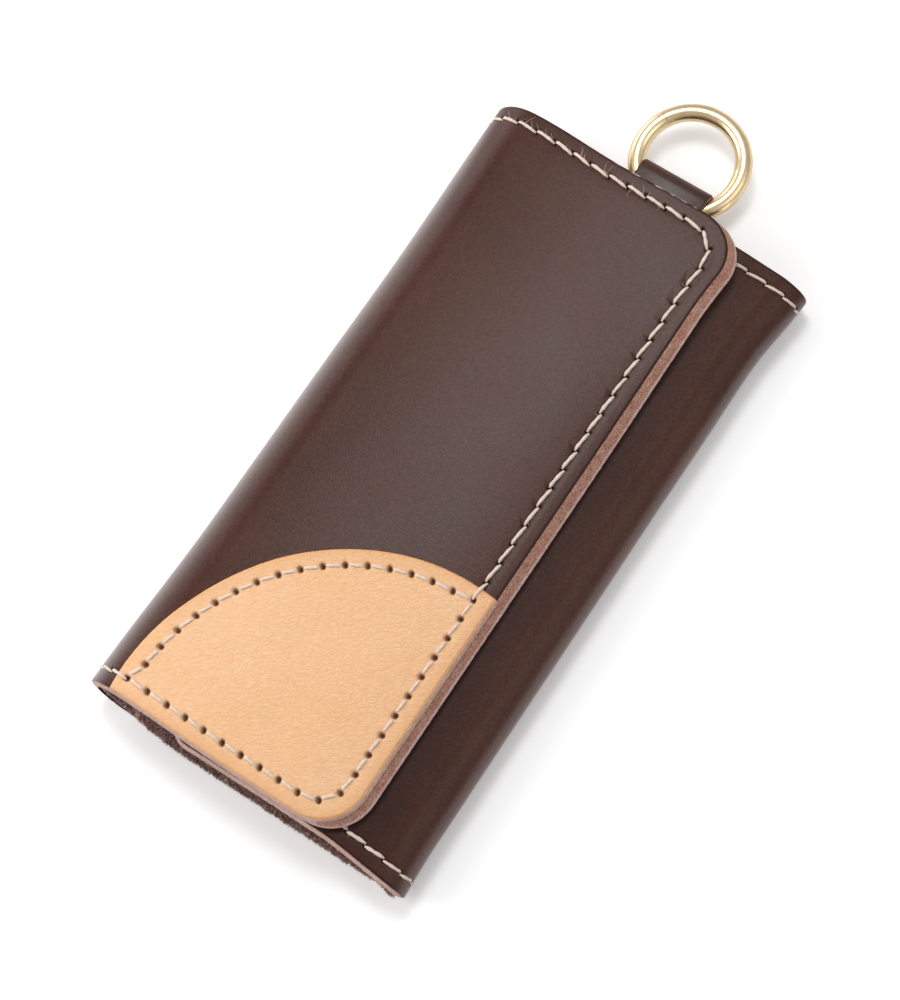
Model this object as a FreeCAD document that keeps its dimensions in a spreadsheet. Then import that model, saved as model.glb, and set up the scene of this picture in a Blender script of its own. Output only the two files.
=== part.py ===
import FreeCAD, Part
import os
import re
import Sketcher

# Folding leather key case, in millimetres. X runs across the case, Y along it towards the ring, Z up.
# The origin is the middle of the back panel's outer face, on which the closed case lies.

doc = FreeCAD.newDocument("KeyCase")
sheet = doc.addObject("Spreadsheet::Sheet", "Dimensions")

# Driving dimensions
driving = {
    # Case and its leather
    "case_length": 115.0,
    "case_width": 60.0,
    "leather_thick": 1.5,
    "lining_thick": 0.7,
    "lining_overhang": 1.0,
    "key_space": 6.6,
    "flap_gap": 1.2,
    # Front flap and the inner flap below it
    "inner_show": 12.0,
    "flap_corner": 8.0,
    "skive_run": 1.4,
    "inner_reach": 44.0,
    "inner_corner": 3.0,
    # Tan patch, a sector whose centre lies near the flap's lower corner
    "patch_thick": 0.9,
    "patch_margin": 5.0,
    "patch_from_edge": 4.0,
    "patch_from_end": 5.0,
    # Ring and the leather tab that holds it
    "ring_wire": 2.8,
    "ring_bore": 14.8,
    "ring_stand": 9.9,
    "ring_offset": 1.0,
    "tab_width": 12.0,
    "tab_thick": 0.9,
    "tab_tail": 11.0,
    "tab_slope": 7.0,
    "tab_clear": 0.4,
    "wire_clear": 0.2,
    # Press fastener between the flaps
    "snap_from_edge": 10.0,
    "snap_radius": 5.0,
    "snap_sheet": 0.5,
    "stud_radius": 1.9,
    "snap_tube": 1.3,
    "snap_clear": 0.3,
    # Key plate and its rivets
    "plate_gap": 7.5,
    "plate_depth": 12.0,
    "plate_thick": 1.0,
    "plate_lip": 6.0,
    "plate_margin": 6.0,
    "plate_corner": 2.5,
    "rivet_shank": 1.2,
    "rivet_head": 2.6,
    "rivet_rise": 0.9,
    "rivet_rim": 0.3,
    "rivet_crown": 1.6,
    "rivet_back": 3.0,
    "washer_thick": 0.5,
    "rivet_from_lip": 7.5,
    "rivet_spacing": 20.0,
    # Key hooks and their gates
    "hook_pitch": 10.0,
    "hook_width": 5.8,
    "hook_length": 24.0,
    "hook_bar": 1.3,
    "hook_thick": 1.6,
    "post_radius": 1.2,
    "post_head": 2.0,
    "post_head_thick": 1.0,
    "post_clear": 0.06,
    "collar_length": 1.2,
    "neck_length": 1.2,
    "end_play": 0.1,
    "mouth_start": 4.5,
    "mouth_length": 10.0,
    "gate_thick": 0.9,
    "gate_clear": 0.2,
    "end_flat": 0.01,
}

# Sizes and levels that follow from the driving dimensions
derived = {
    "half_length": "case_length / 2",
    "half_width": "case_width / 2",
    "floor_top": "leather_thick + lining_thick",
    "space_top": "floor_top + key_space",
    "inner_base": "space_top + lining_thick",
    "inner_top": "inner_base + leather_thick",
    "front_under": "inner_top + flap_gap",
    "front_base": "front_under + lining_thick",
    "front_top": "front_base + leather_thick",
    "left_radius": "front_top / 2",
    "right_radius": "inner_top / 2",
    "left_axis": "left_radius - half_width",
    "right_axis": "half_width - right_radius",
    "free_edge": "half_width - inner_show",
    "skived_edge": "free_edge + skive_run",
    "skived_corner": "flap_corner + skive_run",
    "inner_edge": "half_width - inner_reach",
    "patch_x": "free_edge - patch_from_edge",
    "patch_radius": "patch_x + half_width - patch_margin",
    "snap_x": "free_edge - snap_from_edge",
    "ring_y": "half_length + ring_stand",
    "ring_inner": "ring_bore / 2",
    "ring_mid": "ring_inner + ring_wire / 2",
    "loop_room": "ring_wire + 2 * wire_clear",
    "ring_z": "leather_thick + tab_thick + loop_room / 2",
    "loop_radius": "loop_room / 2",
    "apex_y": "ring_y - sqrt(ring_inner ^ 2 - (tab_width / 2) ^ 2) + tab_clear - loop_radius",
    "loop_y": "ring_y - ring_mid - ring_wire / 2 - tab_clear",
    "plate_edge": "half_length - tab_tail - plate_gap - plate_depth",
    "hook_z": "floor_top + key_space / 2",
    "hook_top": "plate_edge - end_play - collar_length - neck_length",
    "hook_hole": "hook_width / 2 - hook_bar",
    "mouth_top": "hook_top - mouth_start",
}

hook_count = 4

for row, (alias, size) in enumerate(driving.items(), start=1):
    sheet.set(f"A{row}", alias)
    sheet.set(f"B{row}", str(size))
    sheet.setAlias(f"B{row}", alias)
doc.recompute()


def formula(text):
    # Writes the names in a formula as references to the sheet's cells
    def cell(match):
        word = match.group(0)
        if word in derived:
            return "(" + formula(derived[word]) + ")"
        if word in driving:
            return "Dimensions." + word
        return word
    return re.sub(r"[A-Za-z_]\w*", cell, text)


def number(text):
    return float(sheet.evalExpression(formula(text)))


def bind(thing, prop, text):
    thing.setExpression(prop, formula(text))


def place(thing, x="0", y="0", z="0"):
    bind(thing, "Placement.Base.x", x)
    bind(thing, "Placement.Base.y", y)
    bind(thing, "Placement.Base.z", z)


def new_body(label):
    body = doc.addObject("PartDesign::Body", label)
    body.Label = label
    return body


def new_sketch(body, name, role, x="0", y="0", z="0"):
    sketch = body.newObject("Sketcher::SketchObject", name)
    plane = next(f for f in body.Origin.OriginFeatures if f.Role == role)
    sketch.AttachmentSupport = [(plane, "")]
    sketch.MapMode = "FlatFace"
    for axis, text in zip("xyz", (x, y, z)):
        bind(sketch, f"AttachmentOffset.Base.{axis}", text)
    return sketch


def fix(sketch, kind, target, text):
    index = sketch.addConstraint(Sketcher.Constraint(kind, *target, number(text)))
    bind(sketch, f"Constraints[{index}]", text)


def fix_point(sketch, geometry, end, x, y):
    fix(sketch, "DistanceX", (-1, 1, geometry, end), x)
    fix(sketch, "DistanceY", (-1, 1, geometry, end), y)


def add_circle(sketch, x, y, radius):
    centre = FreeCAD.Vector(number(x), number(y), 0)
    circle = sketch.addGeometry(Part.Circle(centre, FreeCAD.Vector(0, 0, 1), number(radius)))
    fix_point(sketch, circle, 3, x, y)
    fix(sketch, "Radius", (circle,), radius)


def add_outline(sketch, corners):
    # A closed outline of straight edges; a corner with a third entry is rounded to that radius.
    # A rounded corner joins a level edge and an upright one.
    spots = [FreeCAD.Vector(number(c[0]), number(c[1]), 0) for c in corners]
    count = len(corners)
    starts, ends, arcs = list(spots), list(spots), {}
    for i, corner in enumerate(corners):
        if len(corner) < 3:
            continue
        radius = number(corner[2])
        back = (spots[i - 1] - spots[i]).normalize() * radius
        ahead = (spots[(i + 1) % count] - spots[i]).normalize() * radius
        ends[i] = spots[i] + back
        starts[i] = spots[i] + ahead
        centre = spots[i] + back + ahead
        middle = centre - (back + ahead).normalize() * radius
        arcs[i] = Part.Arc(ends[i], middle, starts[i])
    lines = []
    for i in range(count):
        lines.append(sketch.addGeometry(Part.LineSegment(starts[i], ends[(i + 1) % count])))
    for i, corner in enumerate(corners):
        before, after = lines[i - 1], lines[i]
        if i not in arcs:
            sketch.addConstraint(Sketcher.Constraint("Coincident", before, 2, after, 1))
            fix_point(sketch, after, 1, corner[0], corner[1])
            continue
        arc = sketch.addGeometry(arcs[i])
        turns_left = (spots[i] - spots[i - 1]).cross(spots[(i + 1) % count] - spots[i]).z > 0
        first, last = (1, 2) if turns_left else (2, 1)
        sketch.addConstraint(Sketcher.Constraint("Tangent", before, 2, arc, first))
        sketch.addConstraint(Sketcher.Constraint("Tangent", arc, last, after, 1))
        fix(sketch, "Radius", (arc,), corner[2])
        arrives_level = abs(spots[i].y - spots[i - 1].y) < abs(spots[i].x - spots[i - 1].x)
        level, upright = (before, after) if arrives_level else (after, before)
        level_end, upright_end = (2, 1) if arrives_level else (1, 2)
        fix(sketch, "DistanceY", (-1, 1, level, level_end), corner[1])
        fix(sketch, "DistanceX", (-1, 1, upright, upright_end), corner[0])


def pad(body, sketch, length, symmetric=False):
    feature = body.newObject("PartDesign::Pad", sketch.Name + "Pad")
    feature.Profile = sketch
    feature.SideType = "Symmetric" if symmetric else "One side"
    bind(feature, "Length", length)
    sketch.Visibility = False
    return feature


def pocket_through(body, sketch):
    # Cuts both ways through the body and makes sure that it took material away
    doc.recompute()
    before = body.Shape.Volume
    feature = body.newObject("PartDesign::Pocket", sketch.Name + "Pocket")
    feature.Profile = sketch
    feature.SideType = "Symmetric"
    feature.Type = "ThroughAll"
    doc.recompute()
    if not body.Shape.Volume < before:
        raise ValueError(f"{body.Label}: {sketch.Name} cuts nothing")


def revolve(body, sketch):
    feature = body.newObject("PartDesign::Revolution", sketch.Name + "Turn")
    feature.Profile = sketch
    feature.ReferenceAxis = (sketch, ["V_Axis"])
    feature.Angle = 360
    sketch.Visibility = False
    return feature


def turned(label, x, y, z, corners):
    # A round piece about an upright axis, from its half section: distance from the axis, height
    body = new_body(label)
    profile = new_sketch(body, label + "_section", "XZ_Plane", x=x, y=z, z=f"-({y})")
    add_outline(profile, corners)
    revolve(body, profile)
    return body


def group(label, members):
    joined = doc.addObject("Part::Compound", label)
    joined.Label = label
    joined.Links = members
    return joined


def half_tube(label, axis_x, axis_z, outer, inner, turn, overhang="0"):
    # The leather of a fold: half a tube along Y, opening towards the middle of the case
    along = FreeCAD.Rotation(FreeCAD.Vector(1, 0, 0), -90)
    open_side = FreeCAD.Rotation(FreeCAD.Vector(0, 0, 1), turn)
    halves = []
    for part_name, radius in (("outside", outer), ("inside", inner)):
        half = doc.addObject("Part::Cylinder", f"{label}_{part_name}")
        half.Placement = FreeCAD.Placement(FreeCAD.Vector(), along.multiply(open_side))
        half.Angle = 180
        bind(half, "Radius", radius)
        bind(half, "Height", f"case_length + {overhang}")
        place(half, axis_x, f"-half_length - {overhang}", axis_z)
        halves.append(half)
    fold = doc.addObject("Part::Cut", label)
    fold.Label = label
    fold.Base, fold.Tool = halves
    return fold


nodes = []


# Back panel: outer leather, with recesses for the rivets' washers
back = new_body("outer_back_panel")
back_outline = new_sketch(back, "back_outline", "XY_Plane")
add_outline(back_outline, [
    ("left_axis", "-half_length"),
    ("right_axis", "-half_length"),
    ("right_axis", "half_length"),
    ("left_axis", "half_length"),
])
pad(back, back_outline, "leather_thick")
doc.recompute()
plain_volume = back.Shape.Volume
washer_recess = new_sketch(back, "washer_recess", "XY_Plane", z="leather_thick")
for side in (-1, 1):
    add_circle(washer_recess, f"{side} * rivet_spacing / 2", "plate_edge + rivet_from_lip", "rivet_back")
recess = back.newObject("PartDesign::Pocket", "washer_recess_cut")
recess.Profile = washer_recess
bind(recess, "Length", "washer_thick")
doc.recompute()
if not back.Shape.Volume < plain_volume:
    raise ValueError("the washer recesses cut nothing")
nodes.append(back)

# Suede lining of the back panel, notched for the tab and pierced for the rivets
lining = new_body("back_lining")
lining_outline = new_sketch(lining, "lining_outline", "XY_Plane", z="leather_thick")
notch_right = "ring_offset + tab_width / 2 + wire_clear"
notch_left = "ring_offset - tab_width / 2 - wire_clear"
notch_end = "half_length - tab_tail - wire_clear"
add_outline(lining_outline, [
    ("left_axis", "-half_length - lining_overhang"),
    ("right_axis", "-half_length - lining_overhang"),
    ("right_axis", "half_length"),
    (notch_right, "half_length"),
    (notch_right, notch_end),
    (notch_left, notch_end),
    (notch_left, "half_length"),
    ("left_axis", "half_length"),
])
for side in (-1, 1):
    add_circle(lining_outline, f"{side} * rivet_spacing / 2", "plate_edge + rivet_from_lip", "rivet_shank")
pad(lining, lining_outline, "lining_thick")
nodes.append(lining)

# Folds: the left one turns up into the front flap, the right one into the inner flap
nodes.append(half_tube("left_fold", "left_axis", "left_radius",
                       "left_radius", "left_radius - leather_thick", 90))
nodes.append(half_tube("left_fold_lining", "left_axis", "left_radius",
                       "left_radius - leather_thick", "left_radius - floor_top", 90, "lining_overhang"))
nodes.append(half_tube("right_fold", "right_axis", "right_radius",
                       "right_radius", "right_radius - leather_thick", -90))
nodes.append(half_tube("right_fold_lining", "right_axis", "right_radius",
                       "right_radius - leather_thick", "right_radius - floor_top", -90, "lining_overhang"))


def flap_outline(sketch, start_x, free_x, corner):
    # An oblong from the fold to the free edge, whose two free corners are rounded
    corners = [
        (start_x, "-half_length"),
        (free_x, "-half_length", corner),
        (free_x, "half_length", corner),
        (start_x, "half_length"),
    ]
    if number(free_x) < number(start_x):
        corners = corners[::-1]
    add_outline(sketch, corners)


# Front flap: the raw cut along its free side slopes outwards from the grain to the lining
front = new_body("front_flap_outer")
front_low = new_sketch(front, "front_low", "XY_Plane", z="front_base")
flap_outline(front_low, "left_axis", "skived_edge", "skived_corner")
front_high = new_sketch(front, "front_high", "XY_Plane", z="front_top")
flap_outline(front_high, "left_axis", "free_edge", "flap_corner")
front_loft = front.newObject("PartDesign::AdditiveLoft", "front_loft")
front_loft.Profile = front_low
front_loft.Sections = [front_high]
front_loft.Ruled = True
cap_recess = new_sketch(front, "cap_recess", "XY_Plane", z="front_base")
add_circle(cap_recess, "snap_x", "0", "snap_radius")
cap_cut = front.newObject("PartDesign::Pocket", "cap_cut")
cap_cut.Profile = cap_recess
cap_cut.Reversed = True
bind(cap_cut, "Length", "snap_sheet")
nodes.append(front)

front_lining = new_body("front_flap_lining")
front_lining_outline = new_sketch(front_lining, "front_lining_outline", "XY_Plane", z="front_under")
flap_outline(front_lining_outline, "left_axis", "skived_edge", "skived_corner")
add_circle(front_lining_outline, "snap_x", "0", "snap_tube")
pad(front_lining, front_lining_outline, "lining_thick")
nodes.append(front_lining)

# Tan patch: a round sector cut off along the flap's edges, where its own corner follows the flap's
patch = new_body("corner_patch")
patch_disc = new_sketch(patch, "patch_disc", "XY_Plane", z="front_top")
add_circle(patch_disc, "patch_x", "patch_from_end - half_length", "patch_radius")
pad(patch, patch_disc, "patch_thick")
patch_field = new_sketch(patch, "patch_field", "XY_Plane", z="front_top")
add_outline(patch_field, [
    ("left_axis", "-half_length"),
    ("free_edge", "-half_length", "flap_corner"),
    ("free_edge", "half_length"),
    ("left_axis", "half_length"),
])
far_side = "2 * case_length"
add_outline(patch_field, [
    (f"-({far_side})", f"-({far_side})"),
    (far_side, f"-({far_side})"),
    (far_side, far_side),
    (f"-({far_side})", far_side),
])
pocket_through(patch, patch_field)
nodes.append(patch)

# Inner flap, with its stud's recess, and its lining
inner = new_body("inner_flap_outer")
inner_outline = new_sketch(inner, "inner_outline", "XY_Plane", z="inner_base")
flap_outline(inner_outline, "right_axis", "inner_edge", "inner_corner")
add_circle(inner_outline, "snap_x", "0", "snap_tube")
pad(inner, inner_outline, "leather_thick")
post_recess = new_sketch(inner, "post_recess", "XY_Plane", z="inner_base")
add_circle(post_recess, "snap_x", "0", "snap_radius - snap_sheet")
post_cut = inner.newObject("PartDesign::Pocket", "post_cut")
post_cut.Profile = post_recess
post_cut.Reversed = True
bind(post_cut, "Length", "snap_sheet")
nodes.append(inner)

inner_lining = new_body("inner_flap_lining")
inner_lining_outline = new_sketch(inner_lining, "inner_lining_outline", "XY_Plane", z="space_top")
flap_outline(inner_lining_outline, "right_axis", "inner_edge", "inner_corner")
pad(inner_lining, inner_lining_outline, "lining_thick")
nodes.append(inner_lining)

# Press fastener: cap and socket in the front flap, stud and post in the inner flap
nodes.append(turned("snap_cap", "snap_x", "0", "front_base", [
    ("0", "-lining_thick"),
    ("snap_tube", "-lining_thick"),
    ("snap_tube", "0"),
    ("snap_radius", "0"),
    ("snap_radius", "snap_sheet"),
    ("0", "snap_sheet"),
]))
nodes.append(turned("snap_socket", "snap_x", "0", "front_under", [
    ("stud_radius + snap_clear", "0"),
    ("stud_radius + snap_clear", "snap_clear - flap_gap"),
    ("snap_radius - snap_sheet", "snap_clear - flap_gap"),
    ("snap_radius", "snap_clear + snap_sheet - flap_gap"),
    ("snap_radius", "0"),
]))
nodes.append(turned("snap_stud", "snap_x", "0", "inner_top", [
    ("0", "0"),
    ("stud_radius", "0"),
    ("stud_radius - snap_clear", "snap_clear"),
    ("stud_radius", "flap_gap - 2 * snap_clear"),
    ("stud_radius - snap_clear", "flap_gap - snap_clear"),
    ("0", "flap_gap - snap_clear"),
]))
nodes.append(turned("snap_post", "snap_x", "0", "inner_base", [
    ("0", "0"),
    ("snap_radius - snap_sheet", "0"),
    ("snap_radius - snap_sheet", "snap_sheet"),
    ("snap_tube", "snap_sheet"),
    ("snap_tube", "leather_thick"),
    ("0", "leather_thick"),
]))

# Ring, and the tab: a strip folded round it, sewn down on the back panel in the lining's notch
ring = doc.addObject("Part::Torus", "hanging_ring")
ring.Label = "hanging_ring"
bind(ring, "Radius1", "ring_mid")
bind(ring, "Radius2", "ring_wire / 2")
place(ring, "ring_offset", "ring_y", "ring_z")
nodes.append(ring)

tab = new_body("ring_tab")


def loop_outline(sketch, tail, low, high, slope_foot, slope_top):
    # Section of the folded strip: flat below, sloping up from its tail, round at the far end
    apex = number("apex_y")
    bottom, top = number(low), number(high)
    spots = [
        FreeCAD.Vector(apex, top, 0),
        FreeCAD.Vector(number(slope_top), top, 0),
        FreeCAD.Vector(number(slope_foot[0]), number(slope_foot[1]), 0),
        FreeCAD.Vector(number(tail), number(slope_foot[1]), 0),
        FreeCAD.Vector(number(tail), bottom, 0),
        FreeCAD.Vector(apex, bottom, 0),
    ]
    texts = [("apex_y", high), (slope_top, high), slope_foot, (tail, slope_foot[1]), (tail, low),
             ("apex_y", low)]
    if slope_foot[0] == tail:
        del spots[3:5]
        del texts[3:5]
    lines = []
    for first, second in zip(spots, spots[1:]):
        lines.append(sketch.addGeometry(Part.LineSegment(first, second)))
    for line, following in zip(lines, lines[1:]):
        sketch.addConstraint(Sketcher.Constraint("Coincident", line, 2, following, 1))
    for line, (x, y) in zip(lines, texts):
        fix_point(sketch, line, 1, x, y)
    fix_point(sketch, lines[-1], 2, *texts[-1])
    far_end = FreeCAD.Vector(apex + (top - bottom) / 2, (top + bottom) / 2, 0)
    bend = sketch.addGeometry(Part.Arc(spots[-1], far_end, spots[0]))
    sketch.addConstraint(Sketcher.Constraint("Coincident", lines[-1], 2, bend, 1))
    sketch.addConstraint(Sketcher.Constraint("Coincident", bend, 2, lines[0], 1))
    fix(sketch, "DistanceX", (-1, 1, bend, 3), "apex_y")


tail_end = "half_length - tab_tail"
seat_mid = "leather_thick + tab_thick"
loop_top = "leather_thick + tab_thick + loop_room"
slope_start = "loop_y - tab_slope"
tab_section = new_sketch(tab, "tab_section", "YZ_Plane", z="ring_offset")
loop_outline(tab_section, tail_end, "leather_thick", f"{loop_top} + tab_thick",
             (slope_start, f"{seat_mid} + tab_thick"), "loop_y")
loop_outline(tab_section, f"{slope_start} + tab_thick / 2", seat_mid, loop_top,
             (f"{slope_start} + tab_thick / 2", seat_mid), "loop_y")
pad(tab, tab_section, "tab_width", symmetric=True)
nodes.append(tab)

# Key plate: a sheet with one edge bent up into a lip, which the hooks' posts pass through
plate_half = f"({hook_count} - 1) * hook_pitch / 2 + plate_margin"
plate = new_body("key_plate")
plate_section = new_sketch(plate, "plate_section", "YZ_Plane")
plate_top = "floor_top + plate_thick"
lip_inner = "plate_edge + plate_thick"
add_outline(plate_section, [
    ("plate_edge", "floor_top", "plate_thick"),
    ("plate_edge + plate_depth", "floor_top"),
    ("plate_edge + plate_depth", plate_top),
    (lip_inner, plate_top),
    (lip_inner, "floor_top + plate_lip"),
    ("plate_edge", "floor_top + plate_lip"),
])
pad(plate, plate_section, f"2 * ({plate_half})", symmetric=True)
post_holes = new_sketch(plate, "post_holes", "XZ_Plane", z="-plate_edge")
hook_places = [f"({i} - ({hook_count} - 1) / 2) * hook_pitch" for i in range(hook_count)]
for hook_x in hook_places:
    add_circle(post_holes, hook_x, "hook_z", "post_radius + post_clear")
pocket_through(plate, post_holes)
rivet_holes = new_sketch(plate, "rivet_holes", "XY_Plane", z="floor_top")
for side in (-1, 1):
    add_circle(rivet_holes, f"{side} * rivet_spacing / 2", "plate_edge + rivet_from_lip", "rivet_shank")
pocket_through(plate, rivet_holes)


def edges_along(shape, direction, test):
    # Names of the straight edges that run along a direction and whose middle passes a test
    names = []
    for index, edge in enumerate(shape.Edges, start=1):
        if edge.Curve.TypeId != "Part::GeomLine":
            continue
        if abs(edge.Curve.Direction.dot(direction)) < 0.999:
            continue
        if test(edge.CenterOfMass):
            names.append(f"Edge{index}")
    return names


plate_end = number("plate_edge + plate_depth")
plate_side = number(plate_half)
lip_top = number("floor_top + plate_lip")
upright = edges_along(plate.Shape, FreeCAD.Vector(0, 0, 1),
                      lambda p: abs(p.y - plate_end) < 0.01 and abs(abs(p.x) - plate_side) < 0.01)
across = edges_along(plate.Shape, FreeCAD.Vector(0, 1, 0),
                     lambda p: abs(p.z - lip_top) < 0.01 and abs(abs(p.x) - plate_side) < 0.01)
drilled_plate = plate.Tip
rounding = plate.newObject("PartDesign::Fillet", "plate_rounding")
rounding.Base = (drilled_plate, upright + across)
bind(rounding, "Radius", "plate_corner")
nodes.append(plate)

# Rivets through plate and lining, and the washers that they are spread on
rivets = []
washers = []
for side, name in ((-1, "left"), (1, "right")):
    rivet_x = f"{side} * rivet_spacing / 2"
    rivet_y = "plate_edge + rivet_from_lip"
    head_base = "plate_thick + lining_thick"
    rivets.append(turned(f"rivet_{name}", rivet_x, rivet_y, "leather_thick", [
        ("0", "0"),
        ("rivet_shank", "0"),
        ("rivet_shank", head_base),
        ("rivet_head", head_base),
        ("rivet_head", f"{head_base} + rivet_rim"),
        ("rivet_crown", f"{head_base} + rivet_rise"),
        ("0", f"{head_base} + rivet_rise"),
    ]))
    washers.append(turned(f"washer_{name}", rivet_x, rivet_y, "leather_thick", [
        ("0", "-washer_thick"),
        ("rivet_back", "-washer_thick"),
        ("rivet_back", "0"),
        ("0", "0"),
    ]))
nodes.append(group("plate_rivets", rivets))
nodes.append(group("rivet_backs", washers))

# Key hooks: a turned post that swivels in the lip, and a long eye whose side has a mouth with a gate
eye_half = "hook_width / 2"
gate_x = "hook_width / 2 - hook_bar / 2"
gate_half = "gate_thick / 2"
for number_of_hook, hook_x in enumerate(hook_places, start=1):
    hook = new_body(f"key_hook_{number_of_hook}")
    eye = new_sketch(hook, f"hook_eye_{number_of_hook}", "XY_Plane", x=hook_x, z="hook_z")
    add_outline(eye, [
        (f"-({eye_half})", "hook_top", "hook_width / 2 - end_flat"),
        (f"-({eye_half})", "hook_top - hook_length", "hook_width / 2 - end_flat"),
        (eye_half, "hook_top - hook_length", "hook_width / 2 - end_flat"),
        (eye_half, "hook_top", "hook_width / 2 - end_flat"),
    ])
    add_outline(eye, [
        ("-hook_hole", "hook_top - hook_bar", "hook_hole - end_flat"),
        ("-hook_hole", "hook_top - hook_length + hook_bar", "hook_hole - end_flat"),
        ("hook_hole", "hook_top - hook_length + hook_bar", "hook_hole - end_flat"),
        ("hook_hole", "hook_top - hook_bar", "hook_hole - end_flat"),
    ])
    pad(hook, eye, "hook_thick", symmetric=True)
    mouth = new_sketch(hook, f"hook_mouth_{number_of_hook}", "XY_Plane", x=hook_x, z="hook_z")
    add_outline(mouth, [
        ("0", "mouth_top - mouth_length"),
        ("hook_width", "mouth_top - mouth_length"),
        ("hook_width", "mouth_top"),
        ("0", "mouth_top"),
    ])
    pocket_through(hook, mouth)
    post = new_sketch(hook, f"hook_post_{number_of_hook}", "XY_Plane", x=hook_x, z="hook_z")
    collar_top = "plate_edge - end_play"
    head_low = "plate_edge + plate_thick + end_play"
    head_high = f"{head_low} + post_head_thick"
    add_outline(post, [
        ("0", "hook_top - hook_bar / 2"),
        ("post_radius", "hook_top - hook_bar / 2"),
        ("post_radius", f"{collar_top} - collar_length"),
        ("post_head", f"{collar_top} - collar_length"),
        ("post_head", collar_top),
        ("post_radius", collar_top),
        ("post_radius", head_low),
        ("post_head", head_low),
        ("post_head", head_high),
        ("0", head_high),
    ])
    revolve(hook, post)
    nodes.append(hook)

    gate = new_body(f"hook_gate_{number_of_hook}")
    leaf = new_sketch(gate, f"gate_leaf_{number_of_hook}", "XY_Plane", x=hook_x, z="hook_z")
    add_outline(leaf, [
        (f"{gate_x} - {gate_half}", "mouth_top - mouth_length + gate_clear"),
        (f"{gate_x} + {gate_half}", "mouth_top - mouth_length + gate_clear"),
        (f"{gate_x} + {gate_half}", "mouth_top - gate_clear", "gate_thick / 2 - end_flat"),
        (f"{gate_x} - {gate_half}", "mouth_top - gate_clear", "gate_thick / 2 - end_flat"),
    ])
    pad(gate, leaf, "hook_thick", symmetric=True)
    nodes.append(gate)

# Build, test and write every piece
doc.recompute()
for thing in doc.Objects:
    if "Invalid" in thing.State or "Error" in thing.State:
        raise ValueError(f"{thing.Label} failed: {thing.State}")
for node in nodes:
    if node.Shape.isNull() or not node.Shape.isValid() or not node.Shape.Solids:
        raise ValueError(f"{node.Label} has no valid solid")

os.makedirs("parts", exist_ok=True)
for node in nodes:
    node.Shape.exportStep(f"parts/{node.Label}.step")
print(f"{len(nodes)} pieces written")
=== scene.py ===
import math
import random

import bmesh
import bpy
from mathutils import Matrix, Vector, kdtree, noise


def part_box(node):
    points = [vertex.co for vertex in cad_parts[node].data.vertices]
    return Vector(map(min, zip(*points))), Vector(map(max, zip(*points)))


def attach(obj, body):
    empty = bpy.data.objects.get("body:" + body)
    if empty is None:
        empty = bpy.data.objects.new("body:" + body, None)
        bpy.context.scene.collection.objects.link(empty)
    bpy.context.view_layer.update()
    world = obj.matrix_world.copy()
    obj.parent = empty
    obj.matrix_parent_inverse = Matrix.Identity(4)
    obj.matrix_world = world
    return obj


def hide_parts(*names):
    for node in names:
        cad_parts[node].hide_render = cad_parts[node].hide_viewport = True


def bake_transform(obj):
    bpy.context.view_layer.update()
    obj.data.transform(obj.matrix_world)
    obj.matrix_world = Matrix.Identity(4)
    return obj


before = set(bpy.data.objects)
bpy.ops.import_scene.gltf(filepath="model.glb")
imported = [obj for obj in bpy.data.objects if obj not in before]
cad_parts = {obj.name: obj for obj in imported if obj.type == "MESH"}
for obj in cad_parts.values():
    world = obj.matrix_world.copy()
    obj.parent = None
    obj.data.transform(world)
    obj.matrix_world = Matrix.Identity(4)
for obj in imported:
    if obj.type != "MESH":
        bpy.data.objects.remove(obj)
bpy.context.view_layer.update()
mm = 0.001                               # lengths below are in millimetres unless they say otherwise


def nodeBox(name):
    low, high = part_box(name)
    return low / mm, high / mm


def ramp(low, high, value):
    t = min(max((value - low) / (high - low), 0.0), 1.0)
    return t * t * (3 - 2 * t)


# The case is one leather strip, rolled twice. Places on the strip are (s, y, n): s runs along it and equals x
# on the front flap, y is the case's own, and n is the height above the leather's outer face.
flapHigh = nodeBox("front_flap_outer")[1]
backLow, backHigh = nodeBox("outer_back_panel")
innerLow, innerHigh = nodeBox("inner_flap_outer")
suedeLow, suedeHigh = nodeBox("back_lining")
patchLow, patchHigh = nodeBox("corner_patch")
leatherThick = backHigh.z
suedeThick = suedeHigh.z - suedeLow.z
patchThick = patchHigh.z - patchLow.z
halfLength = flapHigh.y
flapTop, innerTop = flapHigh.z, innerHigh.z
leftAxis, rightAxis = backLow.x, backHigh.x
leftRadius, rightRadius = flapTop / 2, innerTop / 2
leftArc, rightArc = math.pi * leftRadius, math.pi * rightRadius
flapEdge = patchHigh.x
backStart = leftAxis - leftArc
backEnd = backStart - (rightAxis - leftAxis)
innerStart = backEnd - rightArc

strip = {
    "flapCorner": 8.0,
    "innerCorner": 4.2,
    "innerPast": 1.5,                    # the inner flap reaches this much further under the front flap
    "seamInset": 2.6,
    "freeSeamInset": 3.0,
    "stitchPitch": 3.6,
}
lie = {                                  # how the sewn case lies out of true; pairs are places in x or y
    "inner": {"slip": -1.1, "short": 1.0, "shortOver": (30, 14), "turn": 0.012, "turnFrom": 4,
              "dip": 1.7, "dipOver": (14, rightAxis + 4)},
    "dome": {"dip": 0.0027, "skew": 0.08, "bow": 1.0, "bowFrom": 3, "bowRun": 16, "bowFade": (10, 50)},
    "flapSlip": {"low": 0.4, "high": 1.2, "over": (-4, -24)},
    "flare": {"low": 0.9, "high": 0.55, "from": 25, "over": (-15, -27)},
    "waist": {"deep": 1.35, "top": (58, 42), "bottom": (-58, -48), "atBottom": 0.7, "from": -10, "run": 40,
              "power": 1.2},
}
innerEnd = innerStart - (rightAxis - innerLow.x) - strip["innerPast"]


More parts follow.
